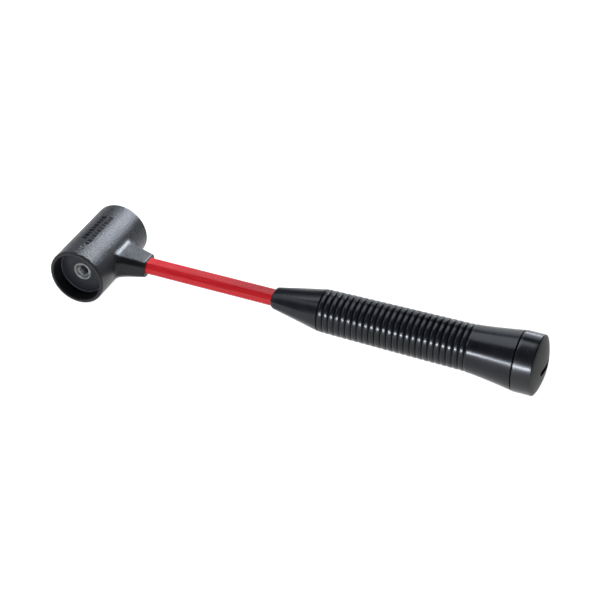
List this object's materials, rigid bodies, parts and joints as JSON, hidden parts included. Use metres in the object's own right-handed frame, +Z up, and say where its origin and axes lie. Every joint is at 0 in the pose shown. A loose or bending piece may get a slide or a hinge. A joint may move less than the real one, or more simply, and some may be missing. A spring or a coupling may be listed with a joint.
{
  "type": "dead blow hammer",
  "caption": "Dead blow hammer with a shot-filled barrel head, open cups with threaded bushes for screw-on faces, a red octagonal rod and a ribbed black grip.",
  "frame": {"origin": "on the resting surface, under the middle of the overall length, with the hammer lying on its side", "axes": "+X along the handle from the head to the butt, Y along the head from cup to cup, +Z up"},
  "size_m": [0.3723, 0.0716, 0.044],
  "materials": {
    "head_composite": "charcoal black glass-filled moulding with a fine cast grain",
    "canister_steel": "plain drawn steel tube",
    "plate_black": "black satin paint, worn light on the rolled rim",
    "bush_steel": "turned bright steel",
    "shot_steel": "dull steel balls",
    "rod_red": "glossy red pultruded fibreglass",
    "bond_resin": "cured amber adhesive",
    "grip_black": "black moulded vinyl with a satin gloss",
    "cap_black": "black moulded vinyl, glossy on the band and matt on the dome"
  },
  "bodies": {
    "hammer": {"head_body": "head_composite", "canister_tube": "canister_steel", "end_plate_front": "plate_black", "end_plate_rear": "plate_black", "bush_front": "bush_steel", "bush_rear": "bush_steel", "handle_rod": "rod_red", "bond_layer": "bond_resin", "grip_sleeve": "grip_black", "butt_cap": "cap_black"},
    "shot": {"shot_charge": "shot_steel"}
  },
  "joints": [
    {"name": "shot_slide", "type": "slide", "parent": "hammer", "child": "shot", "axis": [0, 1, 0], "range_m": [-0.004, 0.004]}
  ]
}
